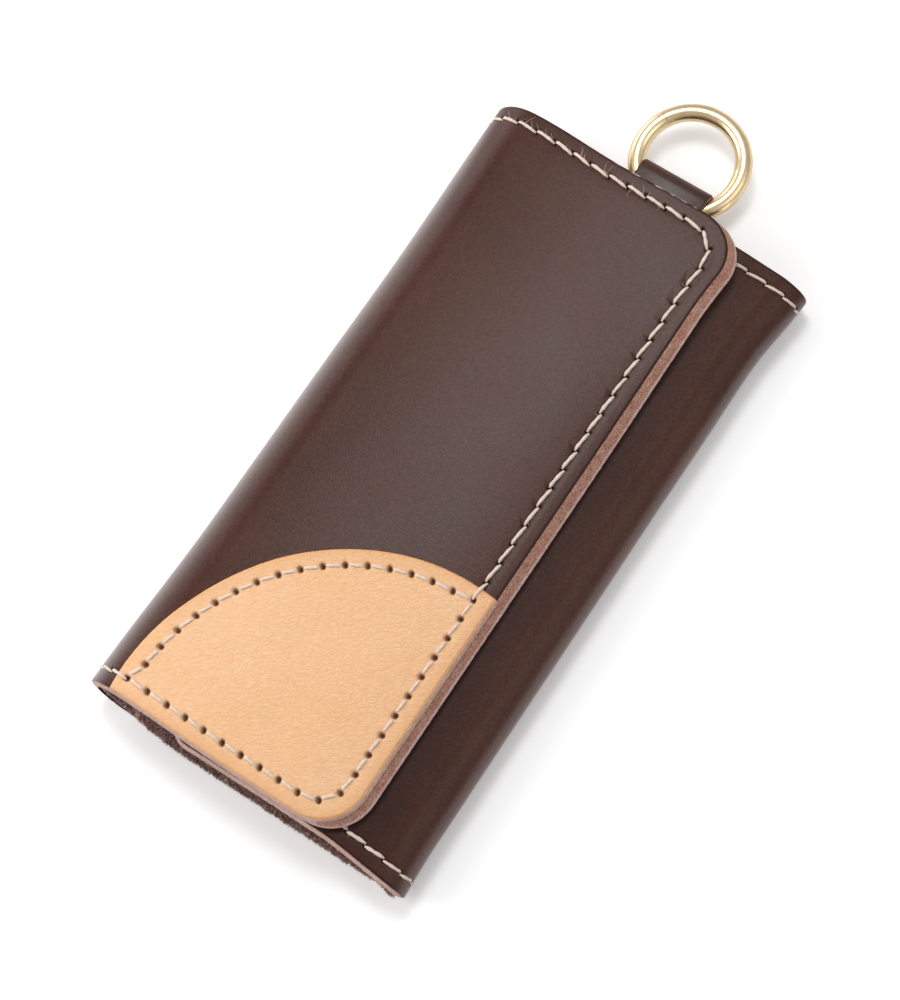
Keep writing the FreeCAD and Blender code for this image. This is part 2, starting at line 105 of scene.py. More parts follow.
def rollPlain(s, y, n):
    run = leftAxis - s
    if run <= 0:
        return Vector((s, y, flapTop + n))
    if s > backStart:
        turn = run / leftRadius
        reach = leftRadius + n
        return Vector((leftAxis - reach * math.sin(turn), y, leftRadius + reach * math.cos(turn)))
    if s > backEnd:
        return Vector((leftAxis + backStart - s, y, -n))
    if s > innerStart:
        turn = (backEnd - s) / rightRadius
        reach = rightRadius + n
        return Vector((rightAxis + reach * math.sin(turn), y, rightRadius - reach * math.cos(turn)))
    return Vector((rightAxis - (innerStart - s), y, innerTop + n))


def settleInner(place, s, y):
    # the inner flap was folded over a little askew, and slopes down to the right fold
    look = lie["inner"]
    turned = look["turn"] * max(0, look["turnFrom"] - place.x)
    short = look["short"] * ramp(*look["shortOver"], place.x) - turned
    slip = look["slip"] + short * (0.5 - y / (2 * halfLength))
    place.y += slip * ramp(backEnd, (backEnd + innerStart) / 2, s)
    place.z -= look["dip"] * ramp(*look["dipOver"], place.x) * ramp(0, innerTop, place.z)


def settleFlap(place, y):
    # the front flap is slightly domed, less so at its top corner, and its left side has slipped up
    dome, slip = lie["dome"], lie["flapSlip"]
    past = max(0, place.x - dome["bowFrom"]) / dome["bowRun"]
    bow = dome["bow"] * past ** 2 * (1 - ramp(*dome["bowFade"], y))
    sag = dome["dip"] * min(0, place.x - dome["skew"] * y) ** 2 + bow
    slipped = slip["low"] + (slip["high"] - slip["low"]) * ramp(0, halfLength, y)
    place.y += slipped * ramp(*slip["over"], place.x) * ramp(0, flapTop, place.z)
    place.z -= sag * ramp(0, flapTop, place.z)


def rollPoint(s, y, n):
    place = rollPlain(s, y, n)
    if s < backEnd:
        settleInner(place, s, y)
    if s > backStart:
        settleFlap(place, y)
    flare, waist = lie["flare"], lie["waist"]
    low = flare["low"] * ramp(-flare["from"], -halfLength, y)    # the left fold spreads at its ends
    high = flare["high"] * ramp(flare["from"], halfLength, y)
    place.x -= (low + high) * ramp(*flare["over"], place.x)
    atBottom = waist["atBottom"]         # the right side is drawn in below its top corner
    drawn = ramp(*waist["top"], y) * (atBottom + (1 - atBottom) * ramp(*waist["bottom"], y))
    part = min(1, max(0, (place.x - waist["from"]) / waist["run"]))
    place.x -= waist["deep"] * drawn * part ** waist["power"]
    return place


lap = 0.4                                # each fold reaches this far on to the flat leather
spans = {                                # where each stretch of the strip starts, ends, and what it rides on
    "front_flap": (flapHigh.x + 5, leftAxis + lap, ("front_flap",)),
    "left_fold": (leftAxis + lap, backStart - lap, ("front_flap", "case_back")),
    "back": (backStart - lap, backEnd + lap, ("case_back",)),
    "right_fold": (backEnd + lap, innerStart - lap, ("inner_flap", "case_back")),
    "inner_flap": (innerStart - lap, innerEnd - 5, ("inner_flap",)),
}


def spanOf(s):
    for name, (start, end, bodies) in spans.items():
        if end <= s <= start:
            return name


def rideSpan(piece, span):
    bodies = spans[span][2]
    if len(bodies) == 1:
        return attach(piece, bodies[0])
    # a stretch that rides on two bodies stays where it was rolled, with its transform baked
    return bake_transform(piece)


# Materials
def tone(red, green, blue):
    linear = []
    for value in (red, green, blue):
        c = value / 255
        linear.append(c / 12.92 if c <= 0.04045 else ((c + 0.055) / 1.055) ** 2.4)
    return (*linear, 1)


def addNode(tree, kind, inputs=None, **settings):
    node = tree.nodes.new(kind)
    for key, value in settings.items():
        setattr(node, key, value)
    for key, value in (inputs or {}).items():
        if isinstance(value, bpy.types.NodeSocket):
            tree.links.new(value, node.inputs[key])
        else:
            node.inputs[key].default_value = value
    return node


def mixColour(tree, amount, first, second, blend="MIX"):
    mixed = {0: amount, 6: first, 7: second}     # sockets of the colour mix
    return addNode(tree, "ShaderNodeMix", mixed, data_type="RGBA", blend_type=blend).outputs[2]


def spread(tree, value, fromLow, fromHigh, toLow=0.0, toHigh=1.0):
    node = addNode(tree, "ShaderNodeMapRange", {"Value": value, "From Min": fromLow, "From Max": fromHigh,
                                                "To Min": toLow, "To Max": toHigh})
    return node.outputs["Result"]


def combine(tree, operation, first, second):
    return addNode(tree, "ShaderNodeMath", {0: first, 1: second}, operation=operation).outputs[0]


def makeGroup(name, inputs, outputs):
    group = bpy.data.node_groups.new(name, "ShaderNodeTree")
    for label, kind, value in inputs:
        socket = group.interface.new_socket(label, in_out="INPUT", socket_type=kind)
        if value is not None:
            socket.default_value = value
    for label, kind in outputs:
        group.interface.new_socket(label, in_out="OUTPUT", socket_type=kind)
    return group, group.nodes.new("NodeGroupInput").outputs, group.nodes.new("NodeGroupOutput").inputs


def makeGrainGroup():
    group, given, result = makeGroup(
        "hideGrain",
        [("Vector", "NodeSocketVector", None), ("Pore Scale", "NodeSocketFloat", 1800.0),
         ("Cloud Scale", "NodeSocketFloat", 45.0)],
        [("Height", "NodeSocketFloat"), ("Clouds", "NodeSocketFloat"), ("Specks", "NodeSocketFloat")])
    pores = addNode(group, "ShaderNodeTexVoronoi", {"Vector": given["Vector"], "Scale": given["Pore Scale"]},
                    feature="DISTANCE_TO_EDGE")
    creases = addNode(group, "ShaderNodeTexNoise", {"Vector": given["Vector"], "Scale": given["Pore Scale"],
                                                    "Detail": 4.0, "Roughness": 0.65})
    clouds = addNode(group, "ShaderNodeTexNoise", {"Vector": given["Vector"], "Scale": given["Cloud Scale"],
                                                   "Detail": 5.0, "Roughness": 0.6})
    cells = spread(group, pores.outputs["Distance"], 0.0, 0.12)
    height = combine(group, "ADD", combine(group, "MULTIPLY", cells, 0.35), creases.outputs["Fac"])
    group.links.new(height, result["Height"])
    group.links.new(clouds.outputs["Fac"], result["Clouds"])
    group.links.new(creases.outputs["Fac"], result["Specks"])
    return group


def makeFibreGroup():
    group, given, result = makeGroup(
        "looseFibre",
        [("Vector", "NodeSocketVector", None), ("Fibre Scale", "NodeSocketFloat", 2500.0)],
        [("Height", "NodeSocketFloat"), ("Clumps", "NodeSocketFloat")])
    stretched = addNode(group, "ShaderNodeMapping", {"Vector": given["Vector"], "Scale": (1.0, 1.0, 2.2),
                                                     "Rotation": (0.3, 0.5, 0.2)})
    fine = addNode(group, "ShaderNodeTexNoise",
                   {"Vector": stretched.outputs[0], "Scale": given["Fibre Scale"], "Detail": 3.0,
                    "Roughness": 0.7, "Distortion": 0.6})
    coarse = combine(group, "DIVIDE", given["Fibre Scale"], 5.0)
    clumps = addNode(group, "ShaderNodeTexNoise", {"Vector": given["Vector"], "Scale": coarse, "Detail": 3.0})
    group.links.new(fine.outputs["Fac"], result["Height"])
    group.links.new(clumps.outputs["Fac"], result["Clumps"])
    return group


grainGroup = makeGrainGroup()
fibreGroup = makeFibreGroup()


def newMaterial(name):
    material = bpy.data.materials.new(name)
    material.use_nodes = True
    tree = material.node_tree
    shader = tree.nodes["Principled BSDF"]
    place = addNode(tree, "ShaderNodeTexCoord").outputs["Object"]
    return material, tree, shader, place


def addBump(tree, shader, height, strength, depth):
    bump = addNode(tree, "ShaderNodeBump", {"Height": height, "Strength": strength, "Distance": depth})
    tree.links.new(bump.outputs["Normal"], shader.inputs["Normal"])


grainTurn = 0.59                         # way that the hide was stretched, in radians
bumpDepth = 0.2 * mm
hide = {                                 # looks of the smooth leathers
    # each look's hole colour is painted shade inside the awl holes
    "brown": {"deep": tone(74, 42, 33), "light": tone(86, 52, 41), "holeShading": tone(20, 11, 9),
              "edge": tone(34, 19, 16), "frayedAndLit": tone(232, 212, 204), "rough": (0.29, 0.36),
              "pores": 2000.0, "stretch": (1, 1, 1), "bump": 0.11, "specks": 0.4, "shine": 0.2},
    # the tab's look is the brown hide painted lighter: painted light on the tab
    "tab": {"deep": tone(94, 58, 49), "light": tone(106, 68, 58), "holeShading": tone(20, 11, 9),
            "edge": tone(40, 23, 19), "frayedAndLit": tone(232, 212, 204), "rough": (0.29, 0.36),
            "pores": 2000.0, "stretch": (1, 1, 1), "bump": 0.11, "specks": 0.4, "shine": 0.4},
    "tan": {"deep": tone(242, 193, 145), "light": tone(248, 203, 159), "holeShading": tone(88, 50, 33),
            "edge": tone(228, 164, 104), "frayedAndLit": tone(240, 214, 190), "rough": (0.50, 0.60),
            "pores": 1700.0, "stretch": (2.0, 1, 1), "bump": 0.6, "specks": 0.24, "shine": 0.4},
}


def hideMaterial(name, look):
    material, tree, shader, place = newMaterial(name)
    grain = addNode(tree, "ShaderNodeGroup", node_tree=grainGroup)
    drawn = addNode(tree, "ShaderNodeMapping", vector_type="TEXTURE")
    tree.links.new(place, drawn.inputs["Vector"])
    drawn.inputs["Rotation"].default_value = (0, 0, grainTurn)
    drawn.inputs["Scale"].default_value = look["stretch"]
    tree.links.new(drawn.outputs[0], grain.inputs["Vector"])
    grain.inputs["Pore Scale"].default_value = look["pores"]
    clouds = spread(tree, grain.outputs["Clouds"], 0.3, 0.7)
    colour = mixColour(tree, clouds, look["deep"], look["light"])
    specks = spread(tree, grain.outputs["Specks"], 0.35, 0.65, 0.0, look["specks"])
    colour = mixColour(tree, specks, colour, look["deep"], "MULTIPLY")
    # painted light mixed in here: the hole layer is painted shade in the awl holes, the edge layer also
    # carries painted shade under the front flap, and the layer of pale fibres at the top edge also carries a
    # painted highlight
    for layer in ("edge", "holeShading", "frayedAndLit"):
        amount = addNode(tree, "ShaderNodeAttribute", attribute_name=layer).outputs["Fac"]
        colour = mixColour(tree, amount, colour, look[layer])
    tree.links.new(colour, shader.inputs["Base Color"])
    rough = spread(tree, grain.outputs["Clouds"], 0.3, 0.7, *look["rough"])
    tree.links.new(rough, shader.inputs["Roughness"])
    shader.inputs["Specular IOR Level"].default_value = look["shine"]
    addBump(tree, shader, grain.outputs["Height"], look["bump"], bumpDepth)
    return material


def fibreMaterial(name, dark, light, scale, sheen, bump):
    material, tree, shader, place = newMaterial(name)
    fibre = addNode(tree, "ShaderNodeGroup", node_tree=fibreGroup)
    tree.links.new(place, fibre.inputs["Vector"])
    fibre.inputs["Fibre Scale"].default_value = scale
    colour = mixColour(tree, spread(tree, fibre.outputs["Height"], 0.35, 0.65), dark, light)
    clumps = spread(tree, fibre.outputs["Clumps"], 0.35, 0.65, 0.0, 0.5)
    colour = mixColour(tree, clumps, colour, light, "MULTIPLY")
    tree.links.new(colour, shader.inputs["Base Color"])
    tree.links.new(spread(tree, fibre.outputs["Clumps"], 0.3, 0.7, 0.8, 0.95), shader.inputs["Roughness"])
    shader.inputs["Specular IOR Level"].default_value = 0.25
    shader.inputs["Sheen Weight"].default_value = sheen
    shader.inputs["Sheen Roughness"].default_value = 0.5
    addBump(tree, shader, fibre.outputs["Height"], bump, bumpDepth)
    return material


def metalMaterial(name, base, tarnish, rough):
    material, tree, shader, place = newMaterial(name)
    grain = addNode(tree, "ShaderNodeGroup", node_tree=grainGroup)
    tree.links.new(place, grain.inputs["Vector"])
    grain.inputs["Cloud Scale"].default_value = 260.0
    grain.inputs["Pore Scale"].default_value = 4000.0
    colour = mixColour(tree, spread(tree, grain.outputs["Clouds"], 0.45, 0.8), base, tarnish)
    tree.links.new(colour, shader.inputs["Base Color"])
    tree.links.new(spread(tree, grain.outputs["Clouds"], 0.3, 0.8, *rough), shader.inputs["Roughness"])
    shader.inputs["Metallic"].default_value = 1.0
    addBump(tree, shader, grain.outputs["Specks"], 0.004, bumpDepth / 2)
    return material


brownHide = hideMaterial("smoothBrownHide", hide["brown"])
# a lighter copy of the brown hide, as painted light on the tab
tabLitHide = hideMaterial("brownHideLitCopy", hide["tab"])
tanHide = hideMaterial("undyedTanHide", hide["tan"])
brownCut = fibreMaterial("brownCutEdge", tone(134, 88, 74), tone(228, 182, 162), 3400.0, 0.1, 0.9)
brownLip = fibreMaterial("brownCutLip", tone(186, 148, 136), tone(232, 204, 194), 3400.0, 0.1, 0.6)
tanCut = fibreMaterial("tanCutEdge", tone(196, 150, 130), tone(246, 214, 194), 3400.0, 0.1, 0.8)
# the suede's and the pile's pale tones are partly painted light, for the bottom edge that is lit from the
# front
suede = fibreMaterial("darkSuede", tone(60, 36, 32), tone(168, 122, 111), 3000.0, 0.35, 1.0)
pile = fibreMaterial("suedePile", tone(78, 50, 44), tone(238, 198, 186), 2600.0, 0.2, 0.9)
linen = fibreMaterial("creamThread", tone(226, 203, 187), tone(252, 239, 227), 7000.0, 0.2, 0.5)
brass = metalMaterial("paleBrass", tone(246, 223, 181), tone(230, 198, 146), (0.24, 0.31))
print("materials ready")


# Making flat pieces out of sheet
def outlineFace(bm, corners, spacing):
    verts = [bm.verts.new((s, y, 0)) for s, y, radius in corners]
    bm.faces.new(verts)
    for vert, (s, y, radius) in zip(verts, corners):
        if radius:
            bmesh.ops.bevel(bm, geom=[vert], offset=radius, offset_type="OFFSET", affect="VERTICES",
                            segments=max(4, int(radius * 1.6 / spacing)), profile=0.5, material=-1)
    divideOutline(bm, spacing)


def divideOutline(bm, spacing):
    for edge in bm.edges[:]:
        cuts = int(edge.calc_length() / spacing)
        if cuts:
            bmesh.ops.subdivide_edges(bm, edges=[edge], cuts=cuts)


def cutSheet(bm, thick, rings, wallRows):
    # the flat outline becomes a closed sheet: face at n = 0, cut walls of material 1, back at -thick
    face = bm.faces[:][0]
    pushed = bmesh.ops.extrude_face_region(bm, geom=[face], use_keep_orig=True)["geom"]
    under = [g for g in pushed if isinstance(g, bmesh.types.BMVert)]
    bmesh.ops.translate(bm, verts=under, vec=(0, 0, -thick))
    for side in bm.faces:
        side.material_index = 1 if len(side.verts) == 4 else 0
    uprights = [e for e in bm.edges if abs(e.verts[0].co.z - e.verts[1].co.z) > thick / 2]
    bmesh.ops.subdivide_edges(bm, edges=uprights, cuts=wallRows)
    top = [f for f in bm.faces if len(f.verts) > 4 and f.calc_center_median().z > -thick / 2]
    for step in rings:
        bmesh.ops.inset_region(bm, faces=top, thickness=step, use_even_offset=True, use_boundary=True)
    bmesh.ops.recalc_face_normals(bm, faces=bm.faces[:])


def score(bm, places, along):
    # cuts right across the sheet, so that it can bend or swell there
    for place in places:
        bmesh.ops.bisect_plane(bm, geom=bm.verts[:] + bm.edges[:] + bm.faces[:], dist=1e-4,
                               plane_co=Vector(along) * place, plane_no=along)


def steps(start, end, spacing):
    count = max(1, math.ceil(abs(end - start) / spacing))
    return [start + (end - start) * i / count for i in range(count + 1)]


def finishPiece(bm, name, materials, sharp=0.7):
    bmesh.ops.scale(bm, vec=(mm, mm, mm), verts=bm.verts)
    for face in bm.faces:
        face.smooth = True
    for edge in bm.edges:
        if edge.calc_face_angle(0) > sharp:
            edge.smooth = False
    mesh = bpy.data.meshes.new(name)
    bm.to_mesh(mesh)
    bm.free()
    for material in materials:
        mesh.materials.append(material)
    piece = bpy.data.objects.new(name, mesh)
    bpy.context.scene.collection.objects.link(piece)
    return piece


def cutSpan(whole, span):
    # a copy of the strip holding one stretch, closed at its two ends
    bm = whole.copy()
    start, end, bodies = spans[span]
    away = [f for f in bm.faces if not end < f.calc_center_median().x < start]
    bmesh.ops.delete(bm, geom=away, context="FACES")
    rims = [e for e in bm.edges if e.is_boundary]
    caps = bmesh.ops.holes_fill(bm, edges=rims, sides=0)["faces"]
    bmesh.ops.triangulate(bm, faces=caps, ngon_method="BEAUTY")  # so that they bend with the strip
    for edge in rims:
        edge.smooth = False
    return bm


def roll(bm, lift=0.0):
    for vert in bm.verts:
        vert.co = rollPoint(vert.co.x, vert.co.y, vert.co.z + lift)


# The seam round the whole strip, as places along it
def roundedEdge(s, y, start, end, half, startCorner, endCorner):
    # distance in from the cut edge, and the way out to it
    middle, reach = (start + end) / 2, (start - end) / 2
    radius = startCorner if s > middle else endCorner
    signS, signY = math.copysign(1, s - middle), math.copysign(1, y)
    overS, overY = abs(s - middle) - (reach - radius), abs(y) - (half - radius)
    if overS > 0 and overY > 0:
        length = math.hypot(overS, overY)
        return radius - length, Vector((signS * overS / length, signY * overY / length))
    if overS > overY:
        return radius - overS, Vector((signS, 0))
    return radius - overY, Vector((0, signY))


def stripEdge(s, y, freeEdge=flapEdge):
    return roundedEdge(s, y, freeEdge, innerEnd, halfLength, strip["flapCorner"], strip["innerCorner"])


def stripCorners(inset, freeEdge):
    left, right, end = innerEnd + inset, freeEdge, halfLength - inset
    flapCorner = strip["flapCorner"] - inset
    innerCorner = strip["innerCorner"] - inset
    return [(right, end, flapCorner), (left, end, innerCorner), (left, -end, innerCorner),
            (right, -end, flapCorner)]


def loopPoints(corners):
    bm = bmesh.new()
    outlineFace(bm, corners, 0.5)
    points = [v.co.to_2d() for v in bm.faces[:][0].verts]
    bm.free()
    return points


def spaceAlong(points, pitch):
    lengths = [0.0]
    for first, second in zip(points, points[1:]):
        lengths.append(lengths[-1] + (second - first).length)
    count = round(lengths[-1] / pitch)
    placed, k = [], 0
    for i in range(count + 1):
        want = lengths[-1] * i / count
        while k < len(points) - 2 and lengths[k + 1] < want:
            k += 1
        part = (want - lengths[k]) / (lengths[k + 1] - lengths[k])
        placed.append(points[k].lerp(points[k + 1], part))
    return placed


patch = {
    "centre": Vector((flapEdge - 4.0, 5.0 - halfLength)),
    "radius": 39.0,
    "edgeInset": 0.08,                   # its right side stops short of the flap's
    "seamInset": 2.6,
    "spacing": 0.3,
    "grid": 0.25,
    "rings": [0.1, 0.14],
    "wallRows": 3,
    "plainSkive": 0.1,
    "freeSkive": 0.35,
    "ragged": 0.03,
    "roundOver": 0.2,
    "valley": 0.07,
    "valleyWide": 0.7,
    "swell": 0.05,
    "swellSize": 15,
    "edgeTint": 0.55,                    # it has darkened right at its edge, and a little out to the seam
    "rimTint": 0.3,
}


def patchEdge(s, y):
    right, low = flapEdge - patch["edgeInset"], -halfLength
    out = Vector((s, y)) - patch["centre"]
    toArc = patch["radius"] - out.length
    corner = strip["flapCorner"]
    overS, overY = s - (right - corner), (low + corner) - y
    if overS > 0 and overY > 0:
        toCorner = corner - math.hypot(overS, overY)
        away = Vector((overS, -overY)).normalized()
    elif overS > overY:
        toCorner, away = corner - overS, Vector((1, 0))
    else:
        toCorner, away = corner - overY, Vector((0, -1))
    return (toArc, out.normalized()) if toArc < toCorner else (toCorner, away)


def seamRows():
    loop = loopPoints(stripCorners(strip["seamInset"], flapEdge - strip["freeSeamInset"]))
    loop.reverse()                       # clockwise, as it was sewn
    outer = spaceAlong(loop + loop[:1], strip["stitchPitch"])
    radius = patch["radius"] - patch["seamInset"]
    low = strip["seamInset"] - halfLength
    first = math.pi - math.asin((low - patch["centre"].y) / radius)
    last = math.acos((flapEdge - strip["freeSeamInset"] - patch["centre"].x) / radius)
    arc = [patch["centre"] + radius * Vector((math.cos(a), math.sin(a))) for a in steps(first, last, 0.01)]
    ends = [min(outer, key=lambda p: (p - tip).length) for tip in (arc[0], arc[-1])]
    arc = [p for p in arc if min((p - end).length for end in ends) > 2]  # it shares holes with the edge row
    return outer, spaceAlong(ends[:1] + arc + ends[1:], strip["stitchPitch"])


edgeRow, arcRow = seamRows()


def onPatch(point):
    return patchEdge(point.x, point.y)[0] > 0.3 and point.x > leftAxis - 3


holes = {                                # awl holes: half length across the seam, half width, depth
    "strip": {"across": 0.52, "along": 0.28, "depth": 0.60, "pale": 0.0},
    "patch": {"across": 0.56, "along": 0.47, "depth": 0.75, "pale": 0.5},    # its left wall catches the light
    "slant": math.radians(28),
    "reach": 1.5,                        # nothing is pressed further from a hole than this
    "awayFromLight": Vector((0.83, 0.55)),
}


def holeTree(points):
    tree = kdtree.KDTree(len(points))
    for i, point in enumerate(points):
        tree.insert(point.to_3d(), i)
    tree.balance()
    return tree


def pressHoles(bm, points, size, edgeOf):
    # pushes an awl hole into the face at each point, and keeps how deep each vertex went, as painted shade
    # inside the hole
    layer = bm.verts.layers.float.new("holeShading")
    tree = holeTree(points)
    for vert in bm.verts:
        if vert.co.z < -0.3:
            continue
        spot = vert.co.to_2d()
        near, index, distance = tree.find(spot.to_3d())
        if distance > holes["reach"]:
            continue
        out = edgeOf(near.x, near.y)[1]
        offset = spot - near.to_2d()
        slant = Matrix.Rotation(holes["slant"], 2) @ out
        across, along = offset.dot(slant), offset.dot(Vector((-slant.y, slant.x)))
        q = math.hypot(across / size["across"], along / size["along"])
        left = -offset.dot(holes["awayFromLight"]) / size["across"]
        # painted shade in the hole, lighter on the patch's wall that faces the light
        vert[layer] = (1 - ramp(0.75, 1.35, q)) * (1 - size["pale"] * ramp(0, 0.9, left))
        vert.co.z -= size["depth"] * (1 - ramp(0.3, 1.4, q))


# Brown leather strip
leather = {
    "spacing": 0.22,
    "rings": [0.1, 0.14, 0.3, 0.5, 0.5] + [0.19] * 11,
    "wallRows": 4,
    "freeSkive": flapHigh.x - flapEdge + 0.25,   # slope of the flap's free edge
    "bottomSkive": 0.32,
    "innerSkive": 0.55,
    "plainSkive": 0.12,
    "roundOver": 0.14,
    "valley": 0.10,
    "valleyWide": 0.7,
    "swell": 0.14,
    "swellSize": 22,
    "ragged": (0.035, 0.07),             # cut wall of the front flap, and of the rest
    "lip": (0.25, 0.82),                 # how deep the lip starts, at the bottom edge and elsewhere; the deeper pale at the bottom is painted light from the front
    "foldStep": 0.4,
    "frayedAndLit": (-6.5, 8.5),                 # pale loose fibres and a painted highlight along the top edge, between these places
    "underFlapShade": 0.30,                     # painted shade on the inner flap, beside and under the front flap's edge
}


def stripSkive(s, out):
    free = leather["freeSkive"] * max(0, out.x) if s > 0 else 0
    low, high = leather["bottomSkive"], leather["innerSkive"]
    bottom = low + (high - low) * ramp(backEnd, innerStart, s)
    return max(leather["plainSkive"], free, bottom * max(0, -out.y) ** 1.5)


# pale loose fibres and a painted highlight, broken up, right at the top cut edge
def frayedAndLitEdge(s, inside, out):
    low, high = leather["frayedAndLit"]
    window = ramp(low - 1, low + 1, s) * ramp(high + 1, high - 1, s) * ramp(0.5, 0.9, out.y)
    broken = noise.noise(Vector((s * 0.55, 3.1, 0.2))) + 0.5 * noise.noise(Vector((s * 1.7, 8.2, 0.4)))
    return window * ramp(-0.05, 0.4, broken) * (1 - ramp(0.06, 0.2, inside))


def shapeStrip(bm):
    edgeLayer = bm.verts.layers.float.new("edge")
    frayedAndLitLayer = bm.verts.layers.float.new("frayedAndLit")
    for vert in bm.verts:
        s, y, n = vert.co
        inside, out = stripEdge(s, y)
        rough = noise.noise(Vector((s * 1.3, y * 1.3, n * 2)))
        rough += 0.6 * noise.noise(Vector((s * 4, y * 4, n * 5)))
        if inside < 0.02:                # on the cut wall
            ragged = leather["ragged"][0 if s > leftAxis else 1]
            shift = stripSkive(s, out) * -n / leatherThick + ragged * rough * ramp(0, 0.4, -n)
            vert.co.x += out.x * shift
            vert.co.y += out.y * shift
        if n > -0.01:
            vert[frayedAndLitLayer] = frayedAndLitEdge(s, inside, out)
            vert.co.z -= leather["roundOver"] * (1 - min(inside / 0.24, 1)) ** 2
            fromSeam = (inside - strip["seamInset"]) / leather["valleyWide"]
            vert.co.z -= leather["valley"] * math.exp(-fromSeam ** 2)
            swell = noise.noise(Vector((s / leather["swellSize"], y / leather["swellSize"], 0.4)))
            vert.co.z += leather["swell"] * swell * ramp(2, 12, inside)
            # painted shade on the inner flap, fading out towards its top, kept in the edge layer with the
            # real dark edge dye
            underFlapShade = leather["underFlapShade"] * ramp(innerStart + 1.5, innerStart - 1.5, s) * ramp(40, 12, y)
            vert[edgeLayer] = max(1 - ramp(0.05, 0.45, inside), underFlapShade)


def makeStrip():
    bm = bmesh.new()
    outlineFace(bm, stripCorners(0, flapEdge), leather["spacing"])
    cutSheet(bm, leatherThick, leather["rings"], leather["wallRows"])
    for span in ("left_fold", "right_fold"):
        score(bm, steps(*spans[span][:2], leather["foldStep"]), (1, 0, 0))
    score(bm, steps(flapEdge - 5, leftAxis, 3)[:-1] + steps(innerStart, innerEnd + 4, 3)[1:], (1, 0, 0))
    score(bm, steps(-halfLength + 5, halfLength - 5, 3.5), (0, 1, 0))
    for face in bm.faces:                # the cut wall has a paler lip, and is mostly pale at the bottom as painted light from the front
        s, y, n = face.calc_center_median()
        lip = leather["lip"][0 if y < 0.8 - halfLength else 1]
        if face.material_index == 1 and n < -leatherThick * lip:
            face.material_index = 2
    shapeStrip(bm)
    shown = [p for p in edgeRow[:-1] if not onPatch(p)]
    pressHoles(bm, shown, holes["strip"], stripEdge)
    replaced = {"front_flap": "front_flap_outer", "left_fold": "left_fold", "back": "outer_back_panel",
                "right_fold": "right_fold", "inner_flap": "inner_flap_outer"}
    for span, node in replaced.items():
        part = cutSpan(bm, span)
        roll(part)
        piece = finishPiece(part, span + "_leather", [brownHide, brownCut, brownLip])
        rideSpan(piece, span)
        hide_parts(node)
    bm.free()


makeStrip()
print("leather strip ready")


# Thread and hairs are thin rods, bent to their place
def rodTemplate(name, sides, rows, tip):
    bm = bmesh.new()
    bmesh.ops.create_cone(bm, cap_ends=True, segments=sides, radius1=1, radius2=tip, depth=1)
    bmesh.ops.subdivide_edges(bm, edges=[e for e in bm.edges if abs(e.verts[0].co.z - e.verts[1].co.z) > 0.5],
                              cuts=rows)
    mesh = bpy.data.meshes.new(name)
    bm.to_mesh(mesh)
    bm.free()
    return mesh


hairRod = rodTemplate("hairRod", 3, 3, 0.3)
threadRod = rodTemplate("threadRod", 8, 7, 1)


def addHair(bm, root, bend, tip, thick, material=0):
    known = len(bm.verts)
    bm.from_mesh(hairRod)
    bm.verts.ensure_lookup_table()
    ahead = (tip - root).normalized()
    side = ahead.orthogonal().normalized()
    up = ahead.cross(side)
    for vert in bm.verts[known:]:
        t = vert.co.z + 0.5
        centre = root.lerp(bend, t).lerp(bend.lerp(tip, t), t)
        vert.co = centre + (side * vert.co.x + up * vert.co.y) * thick
        for face in vert.link_faces:
            face.material_index = material


# Suede lining, glued behind the leather
lining = {
    "spacing": 0.35,
    "freeEdge": nodeBox("front_flap_lining")[1].x,
    "overhang": -halfLength - suedeLow.y,
    "ragged": 0.2,
    "trim": 0.1,                         # cut back behind the leather's edge
    "edgeWide": 1.2,
    "rings": [0.3, 0.8, 1.5],
    "wallRows": 2,
    "foldStep": 0.5,
    "frayedAndLit": 0.9,                         # width of the paler band along the bottom
    "hairs": {"back": 3400, "inner_flap": 300, "right_fold": 420, "left_fold": 420},
    "hairReach": (0.15, 0.55),
    "hairThick": (0.035, 0.08),
}


def liningShift(s, y, n, inside, out):
    # how far the cut edge of the suede stands out at a place
    rough = noise.noise(Vector((s * 1.7, y * 1.7, n * 3))) + 0.7 * noise.noise(Vector((s * 5, y * 5, n * 6)))
    near = 1 - ramp(0, lining["edgeWide"], inside)
    shift = lining["ragged"] * rough * near - lining["trim"]
    if out.y < -0.5:                     # the back's suede was left long at the bottom
        past = ramp(backStart + 6, backStart - 10, s) * ramp(backEnd - 12, backEnd - 4, s)
        shift += (lining["overhang"] + 0.15) * past * near
    return shift


def addPile(part, span, dice):
    # loose fibres along the bottom edge of the suede
    start, end, bodies = spans[span]
    bm = bmesh.new()                     # apart from the sheet, so that its vertices stay in order
    for i in range(lining["hairs"].get(span, 0)):
        s = dice.uniform(max(end, innerEnd + 5) + 0.6, start - 0.6)
        if span.endswith("fold") and not backEnd - 11 < s < backStart + 8:
            continue
        onFace = dice.random() < 0.6
        n = -suedeThick if onFace else dice.uniform(-suedeThick, 0)
        edge = -halfLength - liningShift(s, -halfLength, n, 0, Vector((0, -1)))
        reach = dice.uniform(*lining["hairReach"]) * dice.uniform(0.4, 1)
        root = Vector((s, edge + (dice.uniform(0.1, 1.6) if onFace else 0.12), n))
        rise = -dice.uniform(0.05, 0.3) if onFace else dice.gauss(0.05, 0.2)
        tip = root + Vector((dice.gauss(0, 0.22), -0.12 - reach, rise))
        bend = (root + tip) / 2 + Vector((dice.gauss(0, 0.12), 0, dice.gauss(0, 0.12)))
        addHair(bm, root, bend, tip, dice.uniform(*lining["hairThick"]), dice.choice((0, 1, 1)))
    mesh = bpy.data.meshes.new("pile")
    bm.to_mesh(mesh)
    bm.free()
    part.from_mesh(mesh)
    bpy.data.meshes.remove(mesh)


